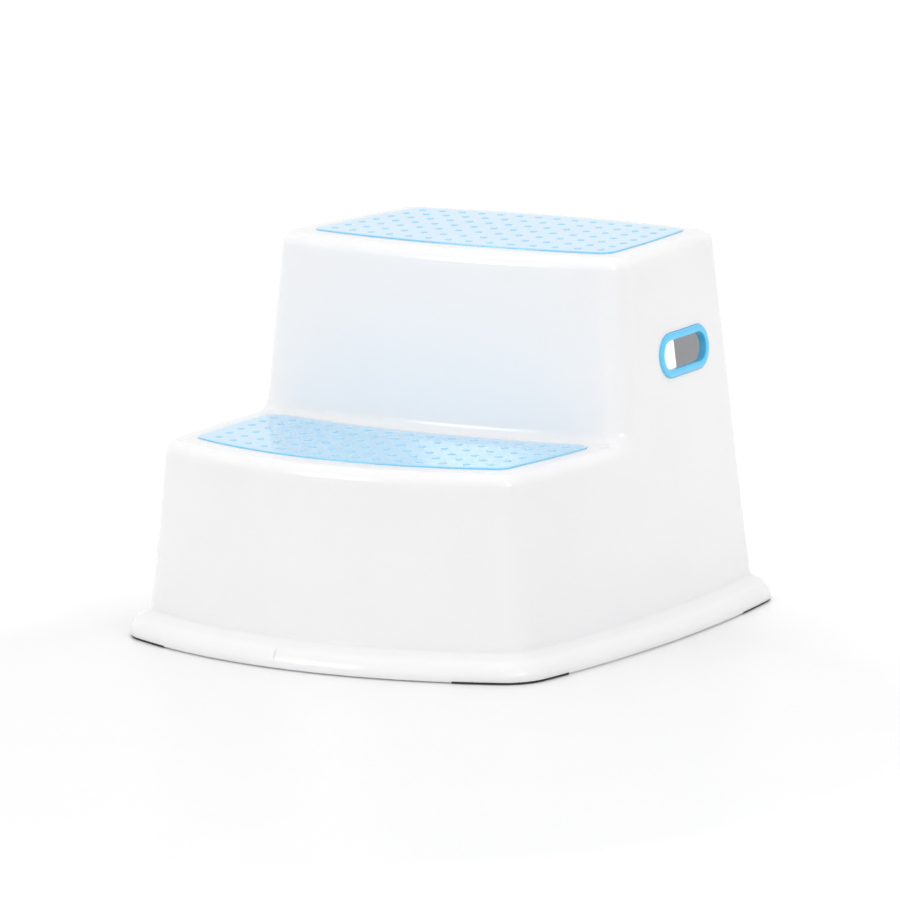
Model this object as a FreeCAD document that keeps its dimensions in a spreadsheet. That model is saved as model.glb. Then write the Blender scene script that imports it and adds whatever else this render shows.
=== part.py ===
"""Two-step stool: one hollow moulded shell, two tread mats, two hand-hole grips and four foot pads.

Millimetres. +X is to the right of someone facing the steps, -Y is the front, +Z is up.
The origin lies on the floor, below the middle of the whole outline.
"""
import FreeCAD, Part
import Sketcher
import math
import os

V = FreeCAD.Vector
UP = V(0, 0, 1)

SIZES = [
    # the shell's walls, measured at floor level and without the flange
    ("body_width", 314.2, "between the side walls, at their widest"),
    ("body_depth", 346.0, "between the front and back walls, on the middle line"),
    ("riser_front", 37.5, "riser in front of the middle of the body"),
    ("upper_tread_height", 249.2, "top face of the upper tread"),
    ("lower_tread_height", 129.6, "top face of the lower tread"),
    ("side_bow_radius", 890.0, "bow of the side walls in plan"),
    ("front_bow_radius", 335.0, "bow of the front wall in plan"),
    ("riser_bow_radius", 640.0, "bow of the riser in plan"),
    ("back_bow_radius", 615.0, "bow of the back wall in plan"),
    ("side_lean", 0.090, "side walls lean in, mm per mm of height"),
    ("front_lean", 0.100, "front wall leans in, mm per mm of height"),
    ("riser_lean", 0.095, "riser leans in, mm per mm of height"),
    ("back_lean", 0.071, "back wall leans in, mm per mm of height"),
    ("front_corner_radius", 18.0, "upright corners at the front wall"),
    ("riser_corner_radius", 19.5, "upright corners at the riser"),
    ("back_corner_radius", 16.5, "upright corners at the back wall"),
    ("tread_edge_radius", 8.0, "rounding from each tread down to the walls"),
    ("step_cove_radius", 8.0, "hollow rounding where the riser meets the lower tread"),
    ("wall_thickness", 2.8, "walls and flange"),
    ("tread_thickness", 4.0, "treads, outside the mat recesses"),
    # ribs under the treads
    ("rib_thickness", 2.2, "ribs"),
    ("rib_depth", 14.0, "ribs below the underside of a tread"),
    ("rib_spacing", 52.0, "from rib to rib"),
    # flange round the foot of the shell
    ("flange_reach", 12.5, "flange beyond the walls"),
    ("flange_height", 18.2, "crease between wall and flange, above the floor"),
    ("flange_lift", 1.0, "lower edge of the flange between the pads, above the floor"),
    ("shoulder_drop", 7.8, "height of the sloping shoulder"),
    ("shoulder_overlap", 2.6, "shoulder continued into the leaning wall"),
    ("flange_edge_radius", 13.0, "rounding between shoulder and skirt"),
    ("flange_corner_radius", 32.0, "corners of the flange in plan"),
    ("flange_cove_radius", 2.5, "hollow rounding between wall and shoulder"),
    # seats of the pads: cut under the four corners of the flange, each closed by a plate
    ("seat_inner_x", 112.0, "inner ends of the seats, either side of the middle"),
    ("seat_inner_front", 107.0, "inner ends of the front seats, in front of the middle"),
    ("seat_inner_back", 105.0, "inner ends of the back seats, behind the middle"),
    ("seat_floor_thickness", 2.5, "plate over each seat"),
    ("seat_floor_width", 15.0, "that plate, in from the outside of the flange"),
    # hand holes
    ("grip_y", 77.2, "middle of the hand hole, behind the middle of the body"),
    ("grip_z", 178.5, "middle of the hand hole, above the floor"),
    ("grip_length", 70.0, "grip bezel, along the wall"),
    ("grip_height", 29.5, "grip bezel, up the wall"),
    ("grip_border", 5.1, "width of the bezel all round the opening"),
    ("grip_thickness", 2.0, "thickness of the bezel"),
    ("grip_seat_depth", 1.0, "flat seat of the bezel, below the middle of the bowed wall"),
    ("grip_sleeve_wall", 2.0, "wall of the sleeve that lines the opening"),
    ("grip_edge_radius", 1.0, "rounding of the bezel"),
    ("grip_lip_height", 0.9, "snap lip behind the wall, beyond the sleeve"),
    ("grip_lip_length", 0.6, "snap lip, along the sleeve"),
    ("grip_gap", 0.2, "play between grip and shell"),
    # window in the back wall
    ("window_low", 42.0, "lower edge of the window, above the floor"),
    ("window_high", 204.0, "upper edge of the window, above the floor"),
    ("window_width_low", 183.0, "width of the window at its lower edge"),
    ("window_width_high", 159.0, "width of the window at its upper edge"),
    ("window_corner_radius", 20.0, "corners of the window"),
    # mats
    ("mat_thickness", 2.5, "mats, without the dots"),
    ("mat_proud", 0.8, "mats above the treads"),
    ("mat_side_margin", 17.7, "from the side walls to a mat, at tread height"),
    ("mat_front_margin", 21.0, "from the front wall or riser to a mat, at tread height"),
    ("upper_mat_back_margin", 16.0, "from the back wall to the upper mat, at tread height"),
    ("lower_mat_riser_gap", 5.6, "from the riser to the lower mat"),
    ("mat_corner_radius", 10.0, "corners of the mats"),
    ("mat_gap", 0.25, "play round a mat in its recess"),
    ("dot_diameter", 5.0, "raised dots on the mats"),
    ("dot_height", 0.5, "raised dots above the mats"),
    ("dot_margin", 12.0, "from a mat's edge to the nearest dots"),
    ("upper_mat_rows", 7, "rows of dots from front to back"),
    ("upper_mat_columns", 14, "dots in a row"),
    ("lower_mat_rows", 6, "rows of dots from front to back"),
    ("lower_mat_columns", 15, "dots in a row"),
    ("peg_diameter", 6.0, "pegs that hold the mats, moulded under them"),
    ("peg_gap", 0.1, "play round each peg"),
    ("peg_length", 6.5, "pegs below the mat"),
    ("peg_x", 78.0, "pegs either side of the middle"),
    ("peg_margin", 20.0, "from a mat's front and back edges to the pegs"),
    # foot pads
    ("pad_thickness", 1.5, "rubber pads under the corners of the flange"),
    ("pad_inset", 0.4, "pads, in from the outside of the flange and the ends of their seats"),
    ("pad_width", 13.0, "pads, in from their outside"),
    ("stud_diameter", 5.0, "studs that hold the pads in the plates"),
    ("stud_gap", 0.1, "play round each stud"),
    ("stud_length", 4.5, "studs above the pads"),
    ("stud_x", 120.0, "studs in the legs along the front and back, either side of the middle"),
    ("stud_front", 122.0, "studs in the side legs, in front of the middle"),
    ("stud_back", 118.0, "studs in the side legs, behind the middle"),
]

doc = FreeCAD.newDocument("two_step_stool")
sheet = doc.addObject("Spreadsheet::Sheet", "Sizes")
for row, (alias, value, note) in enumerate(SIZES, start=1):
    sheet.set(f"A{row}", alias)
    sheet.set(f"B{row}", str(value))
    sheet.set(f"C{row}", note)
    sheet.setAlias(f"B{row}", alias)
doc.recompute()


def size(alias):
    """A driving size as a number."""
    return float(sheet.get(alias))


def cell(text):
    """An expression with $alias for each cell of the sheet."""
    return text.replace("$", "Sizes.")


def number(text):
    """The value of such an expression."""
    return float(sheet.evalExpression(cell(text)))


def bind(obj, **properties):
    """Bind an object's properties to expressions; a double underscore stands for a dot."""
    for path, text in properties.items():
        obj.setExpression(path.replace("__", "."), cell(text))
    return obj


# ---------------------------------------------------------------- shapes in plan

# Each wall of the shell is a strip of an upright cone. Its axis stands at x, y, and `turn`
# keeps the cone's seam away from the strip that is used.
WALLS = {
    "left": dict(x="$side_bow_radius - $body_width / 2", y="0", turn=0,
                 radius="$side_bow_radius", lean="$side_lean"),
    "right": dict(x="$body_width / 2 - $side_bow_radius", y="0", turn=180,
                  radius="$side_bow_radius", lean="$side_lean"),
    "front": dict(x="0", y="$front_bow_radius - $body_depth / 2", turn=90,
                  radius="$front_bow_radius", lean="$front_lean"),
    "riser": dict(x="0", y="$riser_bow_radius - $riser_front", turn=90,
                  radius="$riser_bow_radius", lean="$riser_lean"),
    "back": dict(x="0", y="$body_depth / 2 - $back_bow_radius", turn=-90,
                 radius="$back_bow_radius", lean="$back_lean"),
}


def drum(name, wall, low, high, reach="0", upright_at=None):
    """The cone behind one wall from low to high, moved out by reach.

    With upright_at the drum is a cylinder that matches the wall at that height.
    """
    spec = WALLS[wall]
    if upright_at is None:
        obj = doc.addObject("Part::Cone", f"{name}_{wall}")
        bind(obj, Radius1=f"{spec['radius']} + {reach} - {spec['lean']} * ({low})",
             Radius2=f"{spec['radius']} + {reach} - {spec['lean']} * ({high})")
    else:
        obj = doc.addObject("Part::Cylinder", f"{name}_{wall}")
        bind(obj, Radius=f"{spec['radius']} + {reach} - {spec['lean']} * ({upright_at})")
    obj.Placement = FreeCAD.Placement(V(), FreeCAD.Rotation(UP, spec["turn"]))
    bind(obj, Height=f"({high}) - ({low})", Placement__Base__x=spec["x"],
         Placement__Base__y=spec["y"], Placement__Base__z=low)
    return obj


def boolean(kind, name, base, tool):
    """A Part Cut, Fuse or Common of two objects."""
    obj = doc.addObject(f"Part::{kind}", name)
    obj.Base = base
    obj.Tool = tool
    obj.Refine = True
    doc.recompute()
    return obj


def compound(name, shapes):
    """Separate solids as one object."""
    obj = doc.addObject("Part::Compound", name)
    obj.Links = shapes
    doc.recompute()
    return obj


def chain(kind, name, shapes):
    """The same boolean over several objects, one after the other."""
    result = shapes[0]
    for step, shape in enumerate(shapes[1:], start=1):
        last = step == len(shapes) - 1
        result = boolean(kind, name if last else f"{name}_{step}", result, shape)
    return result


def rounded(name, base, radii):
    """Fillet the edges of base; radii gives each edge its radius, or 0 to leave it."""
    obj = doc.addObject("Part::Fillet", name)
    obj.Base = base
    edges = [(i, radii(edge)) for i, edge in enumerate(base.Shape.Edges, start=1)]
    obj.Edges = [(i, radius, radius) for i, radius in edges if radius > 0]
    doc.recompute()
    return obj


def heights(edge):
    """The z of points along an edge."""
    first, last = edge.ParameterRange
    return [edge.valueAt(first + (last - first) * part / 4).z for part in range(5)]


def upright(edge):
    """True for the edge between two walls."""
    rise = max(heights(edge)) - min(heights(edge))
    return rise > 0.5 and edge.Length < 1.5 * rise


def level(edge, height):
    """True for an edge that lies in the plane at height."""
    return all(abs(z - height) < 0.01 for z in heights(edge))


def plan_block(name, walls, low, high, front_radius, back_radius, reach="0", upright_at=None,
               notch=None):
    """A block inside bowed walls, less the notch drum, with its upright corners rounded.

    reach moves the walls out: one expression, or one for each wall by name.
    """
    reaches = reach if isinstance(reach, dict) else dict.fromkeys(walls, reach)
    drums = [drum(name, wall, low, high, reaches[wall], upright_at) for wall in walls]
    block = chain("Common", f"{name}_square", drums)
    if notch is not None:
        block = boolean("Cut", f"{name}_notched", block, notch)
    middle = block.Shape.BoundBox.Center.y

    def corner(edge):
        if not upright(edge):
            return 0
        return front_radius if edge.CenterOfMass.y < middle else back_radius

    return rounded(name, block, corner)


def box(name, x, y, z, length, width, height):
    """A box from its lowest corner, every value an expression."""
    obj = doc.addObject("Part::Box", name)
    return bind(obj, Placement__Base__x=x, Placement__Base__y=y, Placement__Base__z=z,
                Length=length, Width=width, Height=height)


# ---------------------------------------------------------------- shell

STEP_WALLS = ("left", "right", "front", "back")
TOP_WALLS = ("left", "right", "riser", "back")


def steps(name, inset, tread):
    """Both steps as one solid block: outside with inset 0, hollow with the wall thickness."""
    low, high = f"$lower_tread_height - {tread}", f"$upper_tread_height - {tread}"
    tall = chain("Common", f"{name}_tall",
                 [drum(name, wall, "0", high, f"-{inset}") for wall in STEP_WALLS])
    above = box(f"{name}_above_low_step", "-$body_width", "-$body_depth", low,
                "2 * $body_width", "2 * $body_depth", high)
    notch = boolean("Cut", f"{name}_notch", above, drum(name, "riser", "0", high, f"-{inset}"))
    sharp = boolean("Cut", f"{name}_sharp", tall, notch)
    low_top = number(low)
    middle = sharp.Shape.BoundBox.Center.y

    def radius(edge):
        if upright(edge):
            at_riser = min(heights(edge)) > low_top - 0.01
            if edge.CenterOfMass.y > middle and not at_riser:
                return size("back_corner_radius") - inset
            return size("riser_corner_radius" if at_riser else "front_corner_radius") - inset
        if level(edge, low_top) and edge.CenterOfMass.y > -size("riser_front"):
            return size("step_cove_radius") + inset
        return size("tread_edge_radius") - inset if min(heights(edge)) > low_top - 0.01 else 0

    return rounded(f"{name}_steps", sharp, radius)


def flange_block(name, low, inset):
    """The flange as a solid block: skirt, rounded edge and sloping shoulder."""
    block = plan_block(name, STEP_WALLS, low, f"$flange_height - {inset}",
                       size("flange_corner_radius") - inset, size("flange_corner_radius") - inset,
                       reach=f"$flange_reach - {inset}", upright_at="0")
    top = size("flange_height") - inset
    shoulder = doc.addObject("Part::Chamfer", f"{name}_shoulder")
    shoulder.Base = block
    drop = size("shoulder_drop")
    run = size("flange_reach") + size("shoulder_overlap")
    shoulder.Edges = [(i, drop, run) for i, edge in enumerate(block.Shape.Edges, start=1)
                      if level(edge, top)]
    doc.recompute()
    radius = size("flange_edge_radius") - inset
    return rounded(f"{name}_rounded", shoulder,
                   lambda edge: radius if level(edge, top - drop) else 0)


CORNERS = [(end, side) for end in ("front", "back") for side in ("left", "right")]


def corner_box(name, end, side, low, high, inset="0"):
    """A box round one corner of the flange, its inner ends moved outwards by inset."""
    inner_x, inner_y = f"$seat_inner_x + {inset}", f"$seat_inner_{end} + {inset}"
    return box(f"{name}_{end}_{side}", "-$body_width" if side == "left" else inner_x,
               "-$body_depth" if end == "front" else inner_y, low,
               f"$body_width - ({inner_x})", f"$body_depth - ({inner_y})", f"({high}) - ({low})")


def corner_boxes(name, low, high):
    """The boxes round all four corners of the flange."""
    return compound(f"{name}_corners", [corner_box(name, *corner, low, high) for corner in CORNERS])


def flange_outline(name, low, high, reach, inset):
    """An upright block that follows the flange, reach beyond the walls at floor level."""
    radius = size("flange_corner_radius") + inset
    return plan_block(name, STEP_WALLS, low, high, radius, radius, reach=reach, upright_at="0")


def seated_flange():
    """The flange with a shallow seat for a pad cut under each of its corners."""
    flange = flange_block("flange", "$flange_lift", 0)
    return boolean("Cut", "seated_flange", flange, corner_boxes("seat", "0", "$pad_thickness"))


def shell_outside():
    """Both steps and the flange as one solid, with the hollow corners rounded."""
    sharp = boolean("Fuse", "outside_sharp", steps("outside", 0, "0"), seated_flange())
    crease = size("flange_height")

    def cove_radius(edge):
        in_crease = crease - 1 < min(heights(edge)) and max(heights(edge)) < crease + 0.5
        return size("flange_cove_radius") if in_crease else 0

    return rounded("outside", sharp, cove_radius)


def shell_hollow():
    """The space inside the shell, open at the floor."""
    wall = size("wall_thickness")
    inside = steps("hollow", wall, "$tread_thickness")
    return boolean("Fuse", "hollow", inside, flange_block("flange_hollow", "0", wall))


def foot_band(name, low, high, outer, width):
    """An upright band that follows the flange: outer is its reach, width is measured inwards."""
    delta = number(outer) - size("flange_reach")
    block = flange_outline(f"{name}_outer", low, high, outer, delta)
    core = flange_outline(f"{name}_inner", low, high, f"{outer} - {width}", delta - number(width))
    return boolean("Cut", name, block, core)


def seat_floors(hollow):
    """The hollow without the plates over the pad seats."""
    low, high = "$pad_thickness", "$pad_thickness + $seat_floor_thickness"
    band = foot_band("floor_band", low, high, "$flange_reach", "$seat_floor_width")
    plates = boolean("Common", "seat_floors", band, corner_boxes("seat_floor", low, high))
    return boolean("Cut", "hollow_above_floors", hollow, plates)


def ribs(hollow):
    """The hollow without the ribs that stiffen the two treads from below."""
    bars = {"lower": [], "upper": []}
    for tread, front in (("lower", "$body_depth / 2"), ("upper", "$riser_front")):
        below = f"${tread}_tread_height - $tread_thickness - $rib_depth"
        for count in range(-2, 3):
            bars[tread].append(box(
                f"{tread}_rib_{count + 3}", f"{count} * $rib_spacing - $rib_thickness / 2", f"-{front}",
                below, "$rib_thickness", f"$body_depth / 2 + {front}", "$rib_depth + $tread_thickness"))
    limit = drum("rib_limit", "riser", "0", "$upper_tread_height")
    lower = boolean("Cut", "lower_ribs", compound("lower_rib_bars", bars["lower"]), limit)
    without_lower = boolean("Cut", "hollow_above_lower_ribs", hollow, lower)
    return boolean("Cut", "ribbed_hollow", without_lower, compound("upper_ribs", bars["upper"]))


def window():
    """The opening in the back wall: a tapered prism along Y with rounded corners."""
    prism = doc.addObject("Part::Wedge", "window_square")
    prism.Placement = FreeCAD.Placement(V(), FreeCAD.Rotation(V(1, 0, 0), 90))
    bind(prism, Xmin="-$window_width_low / 2", Xmax="$window_width_low / 2",
         X2min="-$window_width_high / 2", X2max="$window_width_high / 2",
         Ymin="$window_low", Ymax="$window_high",
         Zmin="-$body_depth / 2 - $flange_reach", Zmax="-$body_depth / 4",
         Z2min="-$body_depth / 2 - $flange_reach", Z2max="-$body_depth / 4")
    doc.recompute()
    radius = size("window_corner_radius")

    def corner(edge):
        along = edge.tangentAt(edge.FirstParameter)
        return radius if abs(along.y) > 0.99 else 0

    return rounded("window", prism, corner)


# ---------------------------------------------------------------- grips in the hand holes

GRIP_LEAN = math.degrees(math.atan(size("side_lean")))
OUTWARDS = {"left": -1, "right": 1}


def grip_placement(side_name):
    """The middle of a hand hole on the bowed wall: local X points outwards, local Z up the wall."""
    radius = size("side_bow_radius") - size("side_lean") * size("grip_z")
    y = size("grip_y")
    turn = math.degrees(math.asin(y / radius))
    axis = size("body_width") / 2 - size("side_bow_radius")
    x = axis + math.sqrt(radius ** 2 - y ** 2)
    side = OUTWARDS[side_name]
    yaw = turn if side > 0 else 180 - turn
    rotation = FreeCAD.Rotation(UP, yaw) * FreeCAD.Rotation(V(0, 1, 0), -GRIP_LEAN)
    return FreeCAD.Placement(V(side * x, y, size("grip_z")), rotation)


def slot_sketch(body, name, length, height, x="0"):
    """A slot with round ends on the body's YZ plane, or parallel to it at x."""
    plane = next(f for f in body.Origin.OriginFeatures if f.Role == "YZ_Plane")
    sketch = body.newObject("Sketcher::SketchObject", name)
    sketch.AttachmentSupport = [(plane, "")]
    sketch.MapMode = "FlatFace"
    bind(sketch, AttachmentOffset__Base__z=x)
    radius = number(height) / 2
    half = number(length) / 2 - radius
    quarter = math.pi / 2
    right, top, left, bottom = range(4)
    sketch.addGeometry([
        Part.ArcOfCircle(Part.Circle(V(half, 0, 0), UP, radius), -quarter, quarter),
        Part.LineSegment(V(half, radius, 0), V(-half, radius, 0)),
        Part.ArcOfCircle(Part.Circle(V(-half, 0, 0), UP, radius), quarter, 3 * quarter),
        Part.LineSegment(V(-half, -radius, 0), V(half, -radius, 0)),
    ])
    start, end, centre = 1, 2, 3
    for first, second in ((right, top), (top, left), (left, bottom), (bottom, right)):
        sketch.addConstraint(Sketcher.Constraint("Tangent", first, end, second, start))
    sketch.addConstraint(Sketcher.Constraint("Symmetric", right, centre, left, centre, -1, 1))
    sketch.addConstraint(Sketcher.Constraint("Horizontal", top))
    sketch.addConstraint(Sketcher.Constraint("Equal", right, left))
    for label, constraint, text in (
            ("radius", Sketcher.Constraint("Radius", right, radius), f"({height}) / 2"),
            ("centres", Sketcher.Constraint("DistanceX", left, centre, right, centre, 2 * half),
             f"({length}) - ({height})")):
        index = sketch.addConstraint(constraint)
        sketch.renameConstraint(index, label)
        sketch.setExpression(f"Constraints.{label}", cell(text))
    return sketch


def pad(body, sketch, length, kind="Pad"):
    """Pad a sketch outwards, or pocket it inwards, by a length."""
    feature = body.newObject(f"PartDesign::{kind}", f"{sketch.Name}_{kind.lower()}")
    feature.Profile = sketch
    bind(feature, Length=length)
    doc.recompute()
    return feature


OPENING = ("$grip_length - 2 * $grip_border", "$grip_height - 2 * $grip_border")
SLEEVE = tuple(f"{text} + 2 * $grip_sleeve_wall" for text in OPENING)
# how far the bowed wall falls back at the ends of a grip, and where the sleeve ends behind it
GRIP_SAG = "$grip_length * $grip_length / (8 * $side_bow_radius)"
SLEEVE_DEPTH = f"($wall_thickness + {GRIP_SAG} + $grip_gap + $grip_lip_length)"


def hand_hole(side_name):
    """What a hand hole takes from the wall: the way through and the flat seat of the bezel."""
    body = doc.addObject("PartDesign::Body", f"{side_name}_hand_hole")
    through = [f"{text} + 2 * $grip_gap" for text in SLEEVE]
    seat = [f"{text} + 2 * $grip_gap" for text in ("$grip_length", "$grip_height")]
    clear = "(2 * $wall_thickness + $grip_seat_depth)"
    pad(body, slot_sketch(body, f"{side_name}_way", *through, f"-{clear}"), clear)
    pad(body, slot_sketch(body, f"{side_name}_seat", *seat, "-$grip_seat_depth"), clear)
    body.Placement = grip_placement(side_name)
    return body


def grip(side_name):
    """A grip: bezel on the wall, sleeve through it and snap lip behind it."""
    body = doc.addObject("PartDesign::Body", f"{side_name}_grip")
    lip = [f"{text} + 2 * $grip_lip_height" for text in SLEEVE]
    front = "$grip_thickness - $grip_seat_depth"
    back = f"-{SLEEVE_DEPTH}"
    bezel = slot_sketch(body, f"{side_name}_bezel", "$grip_length", "$grip_height", "-$grip_seat_depth")
    pad(body, bezel, "$grip_thickness")
    pad(body, slot_sketch(body, f"{side_name}_sleeve", *SLEEVE, back), SLEEVE_DEPTH)
    pad(body, slot_sketch(body, f"{side_name}_lip", *lip, back), "$grip_lip_length")
    opening = slot_sketch(body, f"{side_name}_opening", *OPENING, front)
    bored = pad(body, opening, f"{SLEEVE_DEPTH} + {front}", "Pocket")
    face = number(front)
    rims = [f"Edge{i}" for i, edge in enumerate(bored.Shape.Edges, start=1)
            if all(abs(vertex.X - face) < 0.001 for vertex in edge.Vertexes)]
    rim = body.newObject("PartDesign::Fillet", f"{side_name}_rims")
    rim.Base = (bored, rims)
    bind(rim, Radius="$grip_edge_radius")
    body.Placement = grip_placement(side_name)
    doc.recompute()
    return body


# ---------------------------------------------------------------- mats

def wall_line(wall, height, shift, x):
    """The y of a bowed wall at x and height, moved outwards by shift."""
    spec = WALLS[wall]
    radius = number(spec["radius"]) - number(spec["lean"]) * height + shift
    depth = math.sqrt(radius ** 2 - x ** 2)
    return number(spec["y"]) + (depth if wall == "back" else -depth)


def mat_edges(tread):
    """The middle of a mat's front and back edges as functions of x."""
    height, margin = size(f"{tread}_tread_height"), size("mat_front_margin")
    if tread == "lower":
        return (lambda x: wall_line("front", height, -margin, x),
                lambda x: wall_line("riser", height, size("lower_mat_riser_gap"), x))
    return (lambda x: wall_line("riser", height, -margin, x),
            lambda x: wall_line("back", height, -size("upper_mat_back_margin"), x))


def mat_block(tread, name, low, high, grow="0"):
    """A mat's outline from low to high, grown by grow."""
    top = f"${tread}_tread_height"
    reach = {"left": f"{grow} - $mat_side_margin", "right": f"{grow} - $mat_side_margin",
             "front": f"{grow} - $mat_front_margin", "riser": f"{grow} - $mat_front_margin",
             "back": f"{grow} - $upper_mat_back_margin"}
    radius = number(f"$mat_corner_radius + {grow}")
    notch = None
    if tread == "lower":
        notch = drum(f"{name}_notch", "riser", low, high, f"$lower_mat_riser_gap - {grow}", top)
    walls = STEP_WALLS[:3] if tread == "lower" else TOP_WALLS
    return plan_block(name, walls, low, high, radius, radius, reach, top, notch)


def dots(tread):
    """The raised dots: rows that turn from the line of the front edge to that of the back edge."""
    front, back = mat_edges(tread)
    top, margin = size(f"{tread}_tread_height") + size("mat_proud"), size("dot_margin")
    rows, columns = int(size(f"{tread}_mat_rows")), int(size(f"{tread}_mat_columns"))
    side_radius = size("side_bow_radius") - size("side_lean") * size(f"{tread}_tread_height")
    side_radius -= size("mat_side_margin")
    axis = size("body_width") / 2 - size("side_bow_radius")
    sunk, height = size("mat_thickness") / 2, size("dot_height")
    solids = []
    for row in range(rows):
        part = row / (rows - 1)
        middle = front(0) + margin + part * (back(0) - front(0) - 2 * margin)
        half = axis + math.sqrt(side_radius ** 2 - middle ** 2) - margin
        for column in range(columns):
            x = half * (2 * column / (columns - 1) - 1)
            y = front(x) + margin + part * (back(x) - front(x) - 2 * margin)
            solids.append(Part.makeCylinder(size("dot_diameter") / 2, sunk + height, V(x, y, top - sunk)))
    feature = doc.addObject("Part::Feature", f"{tread}_dots")
    feature.Shape = Part.makeCompound(solids)
    return feature


def pegs(tread, name, play, length):
    """Four pegs under a mat, or the holes that take them."""
    front, back = mat_edges(tread)
    x, margin = size("peg_x"), size("peg_margin")
    top = f"${tread}_tread_height + $mat_proud - $mat_thickness"
    result = []
    for side in (-1, 1):
        for end, y in (("front", front(x) + margin), ("back", back(x) - margin)):
            peg = doc.addObject("Part::Cylinder", f"{name}_{end}_{'left' if side < 0 else 'right'}")
            peg.Placement.Base = V(0, y, 0)
            bind(peg, Radius=f"$peg_diameter / 2 + {play}", Height=f"{length} + $mat_thickness / 2",
                 Placement__Base__x=f"{side} * $peg_x", Placement__Base__z=f"{top} - ({length})")
            result.append(peg)
    return compound(name, result)


def mat(tread):
    """A tread mat with its dots above and its pegs below."""
    high = f"${tread}_tread_height + $mat_proud"
    sheet_block = mat_block(tread, f"{tread}_mat_sheet", f"{high} - $mat_thickness", high)
    dotted = boolean("Fuse", f"{tread}_mat_dotted", sheet_block, dots(tread))
    return boolean("Fuse", f"{tread}_tread_mat", dotted, pegs(tread, f"{tread}_pegs", "0", "$peg_length"))


def recess(tread):
    """What a mat takes from its tread: the recess and the four peg holes."""
    top = f"${tread}_tread_height"
    pocket = mat_block(tread, f"{tread}_recess_pocket", f"{top} + $mat_proud - $mat_thickness",
                       f"{top} + $mat_proud", "$mat_gap")
    holes = pegs(tread, f"{tread}_peg_holes", "$peg_gap", "2 * $tread_thickness")
    return boolean("Fuse", f"{tread}_recess", pocket, holes)


# ---------------------------------------------------------------- foot pads

def studs(name, end, side, play, low, high):
    """The two studs that hold one pad, or the holes that take them."""
    sign_x, sign_y = OUTWARDS[side], -1 if end == "front" else 1
    middle = "($flange_reach - $pad_inset - $pad_width / 2)"
    bow, centre = f"${end}_bow_radius", f"($body_depth / 2 - ${end}_bow_radius)"
    side_centre = "($body_width / 2 - $side_bow_radius)"
    places = (
        (f"{sign_x} * $stud_x",
         f"{sign_y} * ({centre} + sqrt(({bow} + {middle}) ^ 2 - $stud_x ^ 2))"),
        (f"{sign_x} * ({side_centre} + sqrt(($side_bow_radius + {middle}) ^ 2 - $stud_{end} ^ 2))",
         f"{sign_y} * $stud_{end}"),
    )
    result = []
    for count, (x, y) in enumerate(places, start=1):
        stud = doc.addObject("Part::Cylinder", f"{name}_{end}_{side}_{count}")
        bind(stud, Radius=f"$stud_diameter / 2 + {play}", Height=f"({high}) - ({low})",
             Placement__Base__x=x, Placement__Base__y=y, Placement__Base__z=low)
        result.append(stud)
    return result


def foot_pad(band, end, side):
    """One rubber pad: the part of the band under a corner, with its two studs."""
    corner = corner_box("pad_corner", end, side, "0", "$pad_thickness", "$pad_inset")
    pad_sheet = boolean("Common", f"pad_sheet_{end}_{side}", band, corner)
    pair = studs("stud", end, side, "0", "$pad_thickness / 2", "$pad_thickness + $stud_length")
    return boolean("Fuse", f"{end}_{side}_foot_pad", pad_sheet, compound(f"studs_{end}_{side}", pair))


def stud_holes():
    """The holes for the studs in the plates over all four seats."""
    low, high = "$pad_thickness / 2", "$pad_thickness + 2 * $seat_floor_thickness"
    holes = [hole for corner in CORNERS for hole in studs("stud_hole", *corner, "$stud_gap", low, high)]
    return compound("stud_holes", holes)


# ---------------------------------------------------------------- the whole object

def shell():
    """The moulded shell."""
    hollow = ribs(seat_floors(shell_hollow()))
    tools = [hollow, window(), recess("lower"), recess("upper"), hand_hole("left"), hand_hole("right"),
             stud_holes()]
    return chain("Cut", "shell", [shell_outside(), *tools])


def foot_pads():
    """The four foot pads."""
    band = foot_band("pad_band", "0", "$pad_thickness", "$flange_reach - $pad_inset", "$pad_width")
    return [foot_pad(band, *corner) for corner in CORNERS]


parts = [shell(), mat("lower"), mat("upper"), grip("left"), grip("right"), *foot_pads()]
doc.recompute()

for obj in doc.Objects:
    if "Invalid" in obj.State or "Error" in obj.State:
        raise RuntimeError(f"{obj.Name} failed: {obj.State}")
for part in parts:
    part.Label = part.Name
    if part.Shape.isNull() or not part.Shape.isValid() or len(part.Shape.Solids) != 1:
        raise RuntimeError(f"{part.Label} isn't one valid solid")

os.makedirs("parts", exist_ok=True)
for part in parts:
    part.Shape.exportStep(f"parts/{part.Label}.step")
    print(part.Label, round(part.Shape.Volume / 1000, 2), "cm3")
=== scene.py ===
"""Two-step stool: a white moulded shell with blue tread mats, blue hand-hole grips and black foot pads.

Metres. +X is to the right of someone facing the steps, -Y is the front, +Z is up.
"""
import math

import bpy
from mathutils import Matrix, Vector
from mathutils.bvhtree import BVHTree


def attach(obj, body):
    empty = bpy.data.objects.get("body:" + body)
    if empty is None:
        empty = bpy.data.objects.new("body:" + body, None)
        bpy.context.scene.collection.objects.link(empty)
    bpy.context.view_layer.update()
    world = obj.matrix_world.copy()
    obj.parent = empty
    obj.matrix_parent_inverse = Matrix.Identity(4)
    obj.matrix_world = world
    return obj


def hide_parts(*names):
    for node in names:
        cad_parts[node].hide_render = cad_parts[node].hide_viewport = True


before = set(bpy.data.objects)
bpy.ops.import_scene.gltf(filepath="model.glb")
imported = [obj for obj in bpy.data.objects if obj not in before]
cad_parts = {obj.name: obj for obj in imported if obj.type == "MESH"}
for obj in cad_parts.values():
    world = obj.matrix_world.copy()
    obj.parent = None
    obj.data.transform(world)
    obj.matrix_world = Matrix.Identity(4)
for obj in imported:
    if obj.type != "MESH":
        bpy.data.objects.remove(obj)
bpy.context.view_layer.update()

scene = bpy.context.scene

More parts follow.
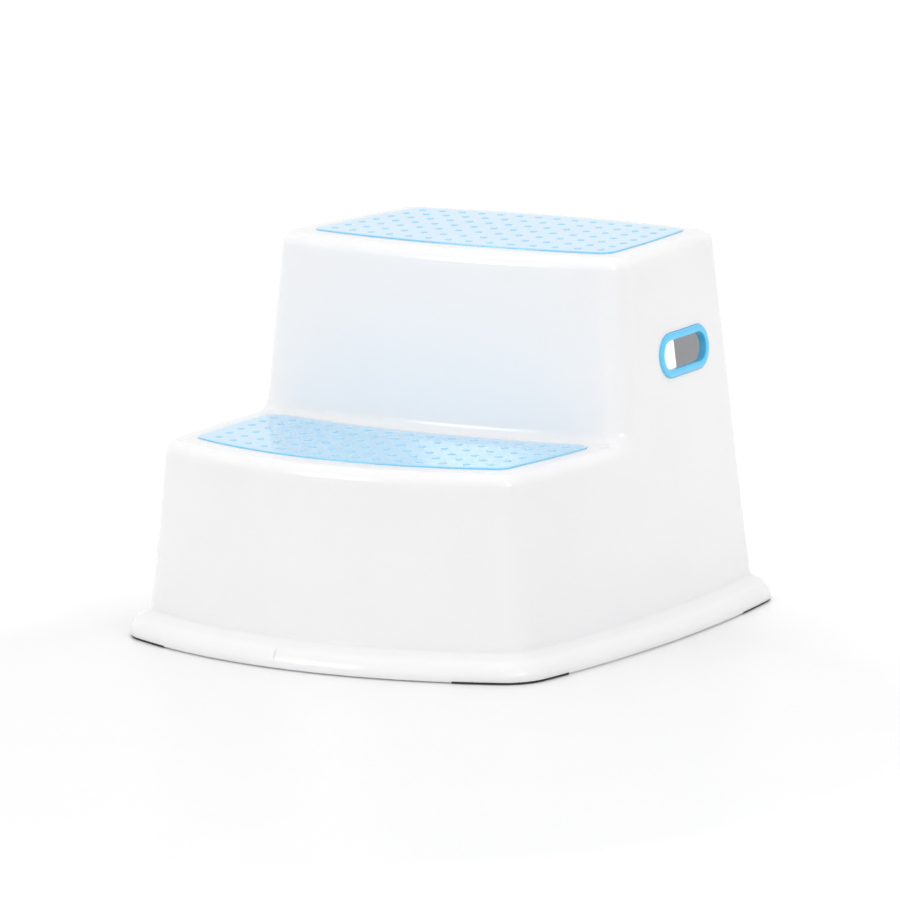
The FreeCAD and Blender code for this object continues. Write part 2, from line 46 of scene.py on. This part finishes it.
# ---------------------------------------------------------------- camera
# Seen from the front right, a little above the upper tread, through a long lens from 4.6 m.
yaw, pitch, roll = math.radians(-33.784), math.radians(10.479), math.radians(-1.051)
ahead = Vector((math.sin(yaw) * math.cos(pitch), math.cos(yaw) * math.cos(pitch), -math.sin(pitch)))
level_right = Vector((math.cos(yaw), -math.sin(yaw), 0))
level_up = level_right.cross(ahead)
camera_right = level_right * math.cos(roll) + level_up * math.sin(roll)
camera_up = level_up * math.cos(roll) - level_right * math.sin(roll)
target = level_right * 0.003783 + Vector((0, -0.00215, 0.113485))
camera_distance = 4.601247
camera = bpy.data.objects.new("camera", bpy.data.cameras.new("camera"))
camera.data.sensor_width = 36
camera.data.lens = 280
camera.data.clip_start, camera.data.clip_end = 0.1, 50
camera.matrix_world = Matrix.Translation(target - ahead * camera_distance) @ Matrix(
    (camera_right, camera_up, -ahead)).transposed().to_4x4()
scene.collection.objects.link(camera)
scene.camera = camera
scene.view_settings.view_transform = "Standard"


# ---------------------------------------------------------------- shell
# The body of the stool: one hollow moulding in white polypropylene, open below and behind, glossy
# outside. Treads, ribs and flange are one piece with it. The cooled skin is never quite flat:
# it keeps the wide, faint waves of the flow and a fine orange peel.

def add(tree, kind, settings=None, **sockets):
    """A node with its settings; each socket is given a value or a link, and underscores are spaces."""
    made = tree.nodes.new(kind)
    for name, value in (settings or {}).items():
        setattr(made, name, value)
    for name, value in sockets.items():
        socket = made.inputs[int(name[1:]) if name[0] == "_" else name.replace("_", " ")]
        if isinstance(value, bpy.types.NodeSocket):
            tree.links.new(value, socket)
        else:
            socket.default_value = value
    return made


def moulded_skin():
    """Group: the colour, roughness and height of a moulded surface, from waves and fine grain."""
    group = bpy.data.node_groups.new("moulded_skin", "ShaderNodeTree")
    for name, kind, default in (
            ("Pale", "NodeSocketColor", (0.8, 0.8, 0.8, 1)), ("Deep", "NodeSocketColor", (0.7, 0.7, 0.7, 1)),
            ("Wave size", "NodeSocketFloat", 0.04), ("Grain size", "NodeSocketFloat", 0.001),
            ("Roughness low", "NodeSocketFloat", 0.2), ("Roughness high", "NodeSocketFloat", 0.3),
            ("Wave height", "NodeSocketFloat", 0.0001), ("Grain height", "NodeSocketFloat", 0.00001)):
        group.interface.new_socket(name, in_out="INPUT", socket_type=kind).default_value = default
    for name, kind in (("Colour", "NodeSocketColor"), ("Roughness", "NodeSocketFloat"),
                       ("Height", "NodeSocketFloat")):
        group.interface.new_socket(name, in_out="OUTPUT", socket_type=kind)
    given = add(group, "NodeGroupInput").outputs
    place = add(group, "ShaderNodeTexCoord").outputs["Object"]
    noises = {}
    for kind, detail in (("Wave", 2.0), ("Grain", 3.0)):
        scale = add(group, "ShaderNodeMath", {"operation": "DIVIDE"}, _0=1.0, _1=given[f"{kind} size"])
        noises[kind] = add(group, "ShaderNodeTexNoise", Vector=place, Scale=scale.outputs[0],
                           Detail=detail, Roughness=0.5).outputs["Fac"]
    tone = add(group, "ShaderNodeMapRange", Value=noises["Wave"], From_Min=0.3, From_Max=0.7)
    colour = add(group, "ShaderNodeMix", {"data_type": "RGBA"}, _0=tone.outputs[0],
                 _6=given["Pale"], _7=given["Deep"])
    both = add(group, "ShaderNodeMath", {"operation": "MULTIPLY_ADD"}, _0=noises["Wave"], _1=0.6,
               _2=add(group, "ShaderNodeMath", {"operation": "MULTIPLY"}, _0=noises["Grain"],
                      _1=0.4).outputs[0])
    rough = add(group, "ShaderNodeMapRange", Value=both.outputs[0], From_Min=0.35, From_Max=0.65,
                To_Min=given["Roughness low"], To_Max=given["Roughness high"])
    wave = add(group, "ShaderNodeMath", {"operation": "MULTIPLY"}, _0=noises["Wave"],
               _1=given["Wave height"])
    height = add(group, "ShaderNodeMath", {"operation": "MULTIPLY_ADD"}, _0=noises["Grain"],
                 _1=given["Grain height"], _2=wave.outputs[0])
    add(group, "NodeGroupOutput", Colour=colour.outputs[2], Roughness=rough.outputs[0],
        Height=height.outputs[0])
    return group


skin = moulded_skin()


def moulded(name, pale, deep, rough, wave, grain, **shader):
    """A material with the moulded skin: rough is a range, wave and grain are (size, height) pairs."""
    material = bpy.data.materials.new(name)
    material.use_nodes = True
    tree = material.node_tree
    surface = add(tree, "ShaderNodeGroup", {"node_tree": skin}, Pale=(*pale, 1), Deep=(*deep, 1),
                  Wave_size=wave[0], Wave_height=wave[1], Grain_size=grain[0], Grain_height=grain[1],
                  Roughness_low=rough[0], Roughness_high=rough[1]).outputs
    bump = add(tree, "ShaderNodeBump", Height=surface["Height"], Distance=1.0, Strength=1.0)
    principled = tree.nodes["Principled BSDF"]
    for socket, value in shader.items():
        principled.inputs[socket.replace("_", " ")].default_value = value
    tree.links.new(surface["Colour"], principled.inputs["Base Color"])
    tree.links.new(surface["Roughness"], principled.inputs["Roughness"])
    tree.links.new(bump.outputs["Normal"], principled.inputs["Normal"])
    return material


def piece(name, points, faces, material, sharp=math.radians(35)):
    """A finished piece of the stool, smooth but for edges sharper than an angle."""
    mesh = bpy.data.meshes.new(name)
    mesh.from_pydata(points, [], faces)
    mesh.shade_smooth()
    mesh.set_sharp_from_angle(angle=sharp)
    mesh.materials.append(material)
    obj = bpy.data.objects.new(name, mesh)
    scene.collection.objects.link(obj)
    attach(obj, "root")
    return obj


gloss_white = moulded("gloss_white", (0.905, 0.903, 0.925), (0.893, 0.891, 0.915), (0.14, 0.22),
                      (0.055, 0.00012), (0.0012, 0.000003), IOR=1.5, Subsurface_Weight=0.5,
                      Subsurface_Radius=(0.015, 0.015, 0.016), Subsurface_Scale=1.0)
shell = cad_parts["shell"]
shell.data.materials.clear()
shell.data.materials.append(gloss_white)
shell_skin = BVHTree.FromPolygons([v.co for v in shell.data.vertices],
                                  [p.vertices for p in shell.data.polygons])

# The split in the front slide of the mould leaves a short upright witness line on the flange.
witness_x, witness_width, witness_proud = -0.0125, 0.0007, 0.00012
witness_low, witness_step, witness_steps = 0.0065, 0.00075, 8
witness_section = ((-1, -0.0001), (-0.4, witness_proud), (0.4, witness_proud), (1, -0.0001))
witness_points, witness_faces = [], []
for count in range(witness_steps + 1):
    z = witness_low + count * witness_step
    for side, lift in witness_section:
        found, normal, _, _ = shell_skin.ray_cast(
            Vector((witness_x + side * witness_width / 2, -0.5, z)), Vector((0, 1, 0)))
        witness_points.append(found + normal * lift)
across = len(witness_section)
for row in range(witness_steps):
    for column in range(across - 1):
        first = row * across + column
        witness_faces.append((first, first + 1, first + across + 1, first + across))
piece("witness_line", witness_points, witness_faces, gloss_white)


# ---------------------------------------------------------------- tread mats
# Two sheets of soft, light blue rubber, glossy but for rows of low matt dots that grip a wet foot. Each
# lies in a shallow recess of its tread, a little proud of it, and is held by four pegs through the tread.

rubber_blue = moulded("rubber_blue", (0.18, 0.58, 0.87), (0.15, 0.55, 0.85), (0.10, 0.18),
                      (0.050, 0.00006), (0.0009, 0.000004), IOR=1.5, Coat_Weight=1.0,
                      Coat_Roughness=0.06, Coat_IOR=1.55)
matt_blue = moulded("matt_blue", (0.38, 0.69, 0.89), (0.34, 0.66, 0.88), (0.50, 0.62),
                    (0.050, 0.00002), (0.0004, 0.00001), IOR=1.45)

# the bowed walls in plan: middle of each bow, its radius at the floor and how fast the wall leans in
BOWS = {"left": ((0.7329, 0.0), 0.890, 0.090), "right": ((-0.7329, 0.0), 0.890, 0.090),
        "front": ((0.0, 0.162), 0.335, 0.100), "riser": ((0.0, 0.6025), 0.640, 0.095),
        "back": ((0.0, -0.442), 0.615, 0.071)}


def bow(wall, height, reach):
    """Middle and radius of a wall's bow at a height, moved outwards by reach."""
    middle, radius, lean = BOWS[wall]
    return Vector(middle), radius - lean * height + reach


def corner_middle(first, second, radius, rear):
    """Middle of the rounding between two bows; a negative radius of a bow means the outside of it."""
    (a, ra), (b, rb) = [(middle, abs(r) - math.copysign(radius, r)) for middle, r in (first, second)]
    gap = b - a
    along = (gap.length_squared + ra ** 2 - rb ** 2) / (2 * gap.length)
    foot = a + gap.normalized() * along
    across = Vector((-gap.y, gap.x)).normalized() * math.sqrt(ra ** 2 - along ** 2)
    return max((foot + across, foot - across), key=lambda p: p.y if rear else -p.y)


def arc(middle, radius, start, end, steps):
    """Points and outward normals along an arc between two directions; a negative radius faces inwards."""
    first, last = math.atan2(start.y, start.x), math.atan2(end.y, end.x)
    turn = (last - first + math.pi) % (2 * math.pi) - math.pi
    result = []
    for step in range(steps):
        angle = first + turn * step / steps
        out = Vector((math.cos(angle), math.sin(angle)))
        result.append((middle + out * abs(radius), out if radius > 0 else -out))
    return result


def rounded_outline(bows, radius, rears, wall_steps=40, corner_steps=10):
    """Points and outward normals round a plan of bowed walls, in the order of the bows."""
    corners = [corner_middle(bows[i], bows[(i + 1) % len(bows)], radius, rears[i]) for i in range(len(bows))]
    line = []
    for i, (middle, wall_radius) in enumerate(bows):
        before, after = corners[i - 1], corners[i]
        line += arc(middle, wall_radius, before - middle, after - middle, wall_steps)
        side = 1 if wall_radius > 0 else -1
        following, following_radius = bows[(i + 1) % len(bows)]
        side_after = 1 if following_radius > 0 else -1
        line += arc(after, radius, (after - middle) * side, (after - following) * side_after, corner_steps)
    return line


def lathe(points, faces, middle, profile, steps):
    """Add a turned solid about an upright axis, closed at both ends; profile runs upwards."""
    first = len(points)
    for radius, z in profile:
        for step in range(steps):
            angle = 2 * math.pi * step / steps
            points.append((middle[0] + radius * math.cos(angle), middle[1] + radius * math.sin(angle), z))
    for ring in range(len(profile) - 1):
        for step in range(steps):
            a, b = first + ring * steps + step, first + ring * steps + (step + 1) % steps
            faces.append((a, b, b + steps, a + steps))
    faces.append(tuple(first + step for step in reversed(range(steps))))
    last = first + (len(profile) - 1) * steps
    faces.append(tuple(last + step for step in range(steps)))


def dot_rows():
    """Geometry Nodes: one low dome on each point of the mesh."""
    tree = bpy.data.node_groups.new("dot_rows", "GeometryNodeTree")
    tree.interface.new_socket("Geometry", in_out="INPUT", socket_type="NodeSocketGeometry")
    for name, default in (("Dot diameter", 0.005), ("Dot height", 0.0005)):
        tree.interface.new_socket(name, in_out="INPUT", socket_type="NodeSocketFloat").default_value = default
    tree.interface.new_socket("Rubber", in_out="INPUT", socket_type="NodeSocketMaterial")
    tree.interface.new_socket("Geometry", in_out="OUTPUT", socket_type="NodeSocketGeometry")
    given = add(tree, "NodeGroupInput").outputs
    ball = add(tree, "GeometryNodeMeshUVSphere", Segments=14, Rings=6, Radius=1.0)
    radius = add(tree, "ShaderNodeMath", {"operation": "MULTIPLY"}, _0=given["Dot diameter"], _1=0.5)
    stretch = add(tree, "ShaderNodeCombineXYZ", X=radius.outputs[0], Y=radius.outputs[0],
                  Z=given["Dot height"])
    dome = add(tree, "GeometryNodeTransform", Geometry=ball.outputs["Mesh"], Scale=stretch.outputs[0])
    soft = add(tree, "GeometryNodeSetShadeSmooth", Geometry=dome.outputs[0])
    spread = add(tree, "GeometryNodeInstanceOnPoints", Points=given["Geometry"], Instance=soft.outputs[0])
    real = add(tree, "GeometryNodeRealizeInstances", Geometry=spread.outputs[0])
    painted = add(tree, "GeometryNodeSetMaterial", Geometry=real.outputs[0], Material=given["Rubber"])
    add(tree, "NodeGroupOutput", Geometry=painted.outputs[0])
    return tree


def settle(obj, tree, **values):
    """Replace an object's mesh by the plain mesh that a Geometry Nodes tree makes from it."""
    modifier = obj.modifiers.new("rows", "NODES")
    modifier.node_group = tree
    for name, value in values.items():
        modifier[tree.interface.items_tree[name.replace("_", " ")].identifier] = value
    evaluated = obj.evaluated_get(bpy.context.evaluated_depsgraph_get())
    mesh = bpy.data.meshes.new_from_object(evaluated)
    obj.modifiers.remove(modifier)
    obj.data = mesh


domes = dot_rows()
MAT_THICKNESS, MAT_PROUD, MAT_RIM, MAT_CORNER = 0.0025, 0.0008, 0.0006, 0.010
MAT_BEVEL, MAT_FLAT_FROM, DOT_MARGIN = 0.0004, 0.004, 0.012
PEG_X, PEG_MARGIN, PEG_RADIUS, PEG_LENGTH, PEG_POINT = 0.078, 0.020, 0.003, 0.0065, 0.0012
MATS = {
    "lower": dict(tread=0.1296, rows=6, columns=15, front=("front", -0.021), back=("riser", 0.0056)),
    "upper": dict(tread=0.2492, rows=7, columns=14, front=("riser", -0.021), back=("back", -0.016)),
}
for tread, mat in MATS.items():
    level = mat["tread"]
    side_reach, top = -0.0177, level + MAT_PROUD
    front_bow, back_bow = (bow(wall, level, reach) for wall, reach in (mat["front"], mat["back"]))
    if tread == "lower":
        back_bow = (back_bow[0], -back_bow[1])
    sheet_bows = [bow("right", level, side_reach), back_bow, bow("left", level, side_reach), front_bow]
    rears = [tread == "upper", tread == "upper", False, False]
    outline = rounded_outline(sheet_bows, MAT_CORNER, rears)

    # the sheet: flat underside, short upright edge, rolled rim and flat top
    rim = [(MAT_BEVEL, top - MAT_THICKNESS), (0.0, top - MAT_THICKNESS + MAT_BEVEL)]
    for step in range(7):
        angle = math.pi / 2 * step / 6
        rim.append((MAT_RIM * (1 - math.cos(angle)), top - MAT_RIM + MAT_RIM * math.sin(angle)))
    rim.append((MAT_FLAT_FROM, top))
    points, faces, around = [], [], len(outline)
    for inset, z in rim:
        points += [(*(point - out * inset), z) for point, out in outline]
    for ring in range(len(rim) - 1):
        for step in range(around):
            a, b = ring * around + step, ring * around + (step + 1) % around
            faces.append((a, b, b + around, a + around))
    faces.append(tuple(reversed(range(around))))
    faces.append(tuple((len(rim) - 1) * around + step for step in range(around)))

    def edge_line(which, x):
        """The y of the mat's front or back edge at x."""
        middle, radius = front_bow if which == "front" else back_bow
        depth = math.sqrt(radius ** 2 - x ** 2)
        return middle.y + (depth if which == "back" and tread == "upper" else -depth)

    # the pegs below it
    peg_tip = top - MAT_THICKNESS - PEG_LENGTH
    for x in (-PEG_X, PEG_X):
        for y in (edge_line("front", x) + PEG_MARGIN, edge_line("back", x) - PEG_MARGIN):
            lathe(points, faces, (x, y), [(PEG_RADIUS * 0.7, peg_tip), (PEG_RADIUS, peg_tip + PEG_POINT),
                                          (PEG_RADIUS, top - MAT_THICKNESS / 2)], 24)
    sheet = piece(f"{tread}_mat_sheet", points, faces, rubber_blue)
    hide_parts(f"{tread}_tread_mat")

    # the dots on it, in rows that turn from the line of the front edge to that of the back edge
    margin, rows, columns = DOT_MARGIN, mat["rows"], mat["columns"]
    side_middle, side_radius = sheet_bows[0]
    spots = []
    for row in range(rows):
        share = row / (rows - 1)
        y_middle = edge_line("front", 0) + margin + share * (edge_line("back", 0) - edge_line("front", 0)
                                                             - 2 * margin)
        half = side_middle.x + math.sqrt(side_radius ** 2 - y_middle ** 2) - margin
        for column in range(columns):
            x = half * (2 * column / (columns - 1) - 1)
            front, back = edge_line("front", x), edge_line("back", x)
            spots.append((x, front + margin + share * (back - front - 2 * margin), top))
    dots_mesh = bpy.data.meshes.new(f"{tread}_mat_dots")
    dots_mesh.from_pydata(spots, [], [])
    dots = bpy.data.objects.new(f"{tread}_mat_dots", dots_mesh)
    scene.collection.objects.link(dots)
    settle(dots, domes, Dot_diameter=0.0052, Dot_height=0.00045, Rubber=matt_blue)
    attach(dots, "root")


# ---------------------------------------------------------------- hand-hole grips
# Each hand hole in a side wall is lined with a ring of smooth, light blue plastic. Its crowned bezel lies
# on a flat seat in the bowed wall, its sleeve goes through, and a lip behind the wall snaps it in.

satin_blue = moulded("satin_blue", (0.10, 0.56, 0.88), (0.08, 0.53, 0.86), (0.12, 0.20),
                     (0.030, 0.00004), (0.0008, 0.000003), IOR=1.5)
GRIP_OPENING_HALF, GRIP_OPENING_RADIUS, GRIP_BORDER = 0.0299, 0.00965, 0.0051
GRIP_FRONT, GRIP_SEAT, GRIP_BACK = 0.0010, 0.0010, 0.00428
grip_y, grip_z = 0.0772, 0.1785
grip_bow = BOWS["right"][1] - BOWS["right"][2] * grip_z
grip_lean, grip_turn = math.atan(BOWS["right"][2]), math.asin(grip_y / grip_bow)
grip_x = BOWS["right"][0][0] + math.sqrt(grip_bow ** 2 - grip_y ** 2)

# section of the ring: (distance out from the opening's edge, depth out of the wall), running from the
# back of the sleeve along the opening, over the bezel, down to the seat and back along the sleeve
grip_section = [(0.0, -GRIP_BACK), (0.0, -0.0025), (0.0, 0.0)]
crown_inner, crown_outer, crown_swell = 0.0005, 0.0013, 0.0002
for step in range(6):
    angle = math.pi / 2 * step / 5
    grip_section.append((crown_inner * (1 - math.cos(angle)),
                         GRIP_FRONT - crown_swell - crown_inner * (1 - math.sin(angle))))
for share in (0.25, 0.5, 0.75):
    swell = math.sin(math.pi * share)
    grip_section.append((crown_inner + share * (GRIP_BORDER - crown_inner - crown_outer),
                         GRIP_FRONT - crown_swell + crown_swell * swell))
for step in range(7):
    angle = math.pi / 2 * step / 6
    grip_section.append((GRIP_BORDER - crown_outer * (1 - math.sin(angle)),
                         GRIP_FRONT - crown_swell - crown_outer * (1 - math.cos(angle))))
grip_section += [(GRIP_BORDER, -GRIP_SEAT), (0.0021, -GRIP_SEAT), (0.0020, -0.0012), (0.0020, -0.0036),
                 (0.0029, -0.0038), (0.0027, -GRIP_BACK), (0.0008, -GRIP_BACK)]

# the opening's edge: two half circles joined by straight runs, with outward directions
slot_line = []
straight = GRIP_OPENING_HALF - GRIP_OPENING_RADIUS
for end in (1, -1):
    for step in range(25):
        angle = math.pi * (step / 24 - 0.5) + (0 if end > 0 else math.pi)
        slot_line.append((end * straight, math.cos(angle), math.sin(angle)))
    for share in (0.25, 0.5, 0.75):
        slot_line.append((end * straight * (1 - 2 * share), 0.0, float(end)))
for side, turn in (("left", math.pi - grip_turn), ("right", grip_turn)):
    sign = 1 if side == "right" else -1
    seat = (Matrix.Translation((sign * grip_x, grip_y, grip_z)) @ Matrix.Rotation(turn, 4, "Z")
            @ Matrix.Rotation(-grip_lean, 4, "Y"))
    points, faces, around = [], [], len(slot_line)
    for out, depth in grip_section:
        for start, along, up in slot_line:
            points.append(seat @ Vector((depth, start + along * (GRIP_OPENING_RADIUS + out),
                                         up * (GRIP_OPENING_RADIUS + out))))
    for ring in range(len(grip_section)):
        ahead_ring = (ring + 1) % len(grip_section)
        for step in range(around):
            beside = (step + 1) % around
            faces.append((ring * around + step, ahead_ring * around + step,
                          ahead_ring * around + beside, ring * around + beside))
    grip = piece(f"{side}_grip_ring", points, faces, satin_blue, math.radians(50))
    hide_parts(f"{side}_grip")


# ---------------------------------------------------------------- foot pads
# Four bent strips of black rubber keep the stool from sliding and scratching. Each lies in a shallow seat
# under a corner of the flange, is grooved below, and has two studs pulled through the plate above it.

rubber_black = moulded("rubber_black", (0.020, 0.020, 0.021), (0.012, 0.012, 0.013), (0.50, 0.72),
                       (0.012, 0.00003), (0.0005, 0.00002), IOR=1.5)
PAD_THICKNESS, PAD_WIDTH, PAD_REACH, PAD_CORNER = 0.0015, 0.013, 0.0121, 0.0316
PAD_INNER_X = 0.1124
PAD_INNER_Y = {"front": 0.1074, "back": 0.1054}
STUD_X, STUD_Y = 0.120, {"front": 0.122, "back": 0.118}
stud_profile = [(0.0025, PAD_THICKNESS / 2), (0.0025, 0.0045), (0.0021, 0.0056), (0.0012, 0.0060)]
PAD_BEVEL = 0.0003
grooves, groove, groove_depth, groove_slope = 4, 0.0012, 0.0006, 0.0002
land = (PAD_WIDTH - grooves * groove) / (grooves + 1)
pad_section = [(0.0, PAD_THICKNESS), (0.0, PAD_BEVEL), (PAD_BEVEL, 0.0)]
for count in range(grooves):
    start = land + count * (groove + land)
    pad_section += [(start, 0.0), (start + groove_slope, groove_depth),
                    (start + groove - groove_slope, groove_depth), (start + groove, 0.0)]
pad_section += [(PAD_WIDTH - PAD_BEVEL, 0.0), (PAD_WIDTH, PAD_BEVEL), (PAD_WIDTH, PAD_THICKNESS)]
for end in ("front", "back"):
    end_bow, side_bow = bow(end, 0, PAD_REACH), bow("right", 0, PAD_REACH)
    middle = corner_middle(end_bow, side_bow, PAD_CORNER, end == "back")
    way = -1 if end == "front" else 1

    def pad_line(inset):
        """Points along a pad, inset from its outside: end wall, corner, side wall."""
        end_radius, side_radius = end_bow[1] - inset, side_bow[1] - inset
        from_end = Vector((PAD_INNER_X, way * math.sqrt(end_radius ** 2 - PAD_INNER_X ** 2)))
        inner_y = way * PAD_INNER_Y[end]
        to_side = Vector((math.sqrt(side_radius ** 2 - inner_y ** 2), inner_y))
        line = arc(end_bow[0], end_radius, from_end, middle - end_bow[0], 8)
        line += arc(middle, PAD_CORNER - inset, middle - end_bow[0], middle - side_bow[0], 14)
        line += arc(side_bow[0], side_radius, middle - side_bow[0], to_side, 8)
        return [point for point, _ in line] + [side_bow[0] + to_side]

    for side in ("left", "right"):
        sign = 1 if side == "right" else -1
        points, faces = [], []
        lines = [pad_line(inset) for inset, _ in pad_section]
        across, long = len(pad_section), len(lines[0])
        for step in range(long):
            points += [(sign * lines[i][step].x, lines[i][step].y, pad_section[i][1]) for i in range(across)]
        for step in range(long - 1):
            for i in range(across):
                a, b = step * across + i, step * across + (i + 1) % across
                faces.append((a, b, b + across, a + across))
        faces += [tuple(reversed(range(across))), tuple((long - 1) * across + i for i in range(across))]
        if sign * way > 0:
            faces = [tuple(reversed(face)) for face in faces]
        stud_reach = PAD_WIDTH / 2
        stud_end = end_bow[0].y + way * math.sqrt((end_bow[1] - stud_reach) ** 2 - STUD_X ** 2)
        stud_side = side_bow[0].x + math.sqrt((side_bow[1] - stud_reach) ** 2 - STUD_Y[end] ** 2)
        for x, y in ((STUD_X, stud_end), (stud_side, way * STUD_Y[end])):
            lathe(points, faces, (sign * x, y), stud_profile, 20)
        strip = piece(f"{end}_{side}_pad_strip", points, faces, rubber_black)
        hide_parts(f"{end}_{side}_foot_pad")


# ---------------------------------------------------------------- studio
# A pale floor in a white room: an even light from all round, with soft lamps above, at the right and in
# front on the left.

floor_half, floor_z = 6, -0.0002
floor_mesh = bpy.data.meshes.new("floor")
floor_mesh.from_pydata([(x * floor_half, y * floor_half, floor_z)
                        for x, y in ((-1, -1), (1, -1), (1, 1), (-1, 1))], [], [(0, 1, 2, 3)])
floor = bpy.data.objects.new("floor", floor_mesh)
scene.collection.objects.link(floor)
pale = bpy.data.materials.new("pale_floor")
pale.use_nodes = True
floor_mesh.materials.append(pale)
tree = pale.node_tree
board = tree.nodes["Principled BSDF"]
place = add(tree, "ShaderNodeTexCoord").outputs["Object"]
cloud = add(tree, "ShaderNodeTexNoise", Vector=place, Scale=9.0, Detail=2.0)
tone = add(tree, "ShaderNodeMapRange", Value=cloud.outputs["Fac"], To_Min=0.80, To_Max=0.82)
tree.links.new(tone.outputs[0], board.inputs["Base Color"])
board.inputs["Roughness"].default_value = 0.35
path = add(tree, "ShaderNodeLightPath").outputs
seen = add(tree, "ShaderNodeMath", {"operation": "MAXIMUM"}, _0=path["Is Camera Ray"],
           _1=path["Is Glossy Ray"])
away = add(tree, "ShaderNodeVectorMath", {"operation": "DISTANCE"}, _0=place, _1=(0.12, -0.30, 0.0))
far = add(tree, "ShaderNodeMapRange", Value=away.outputs["Value"], From_Min=0.35, From_Max=0.9,
          To_Min=0.04, To_Max=0.5)
lift = add(tree, "ShaderNodeMath", {"operation": "MULTIPLY"}, _0=seen.outputs[0], _1=far.outputs[0])
board.inputs["Emission Color"].default_value = (1, 1, 1, 1)
tree.links.new(lift.outputs[0], board.inputs["Emission Strength"])
below = add(tree, "ShaderNodeNewGeometry").outputs["Backfacing"]
clear = add(tree, "ShaderNodeBsdfTransparent")
either = add(tree, "ShaderNodeMixShader", _0=below, _1=board.outputs[0], _2=clear.outputs[0])
tree.links.new(either.outputs[0], tree.nodes["Material Output"].inputs["Surface"])

world = bpy.data.worlds.new("studio")
scene.world = world
world.use_nodes = True
tree = world.node_tree
tree.nodes["Background"].inputs["Color"].default_value = (1, 1, 1, 1)
tree.nodes["Background"].inputs["Strength"].default_value = 1.0


def softbox(name, place, aim, width, height, radiance):
    """A flat lamp that points at a place; its power follows from its size and radiance."""
    lamp = bpy.data.lights.new(name, "AREA")
    lamp.shape = "RECTANGLE"
    lamp.size, lamp.size_y = width, height
    lamp.energy = radiance * math.pi * width * height
    obj = bpy.data.objects.new(name, lamp)
    obj.location = place
    obj.rotation_euler = (Vector(aim) - Vector(place)).to_track_quat("-Z", "Y").to_euler()
    scene.collection.objects.link(obj)


softbox("lamp_above", (0.3, -0.4, 2.2), (0, 0, 0.1), 0.7, 0.7, 1.0)
softbox("lamp_right", (2.2, -0.9, 1.0), (0, 0, 0.15), 0.8, 0.8, 4.6)
softbox("lamp_front", (-1.3, -2.5, 1.0), (0, 0, 0.12), 0.8, 0.7, 7.4)
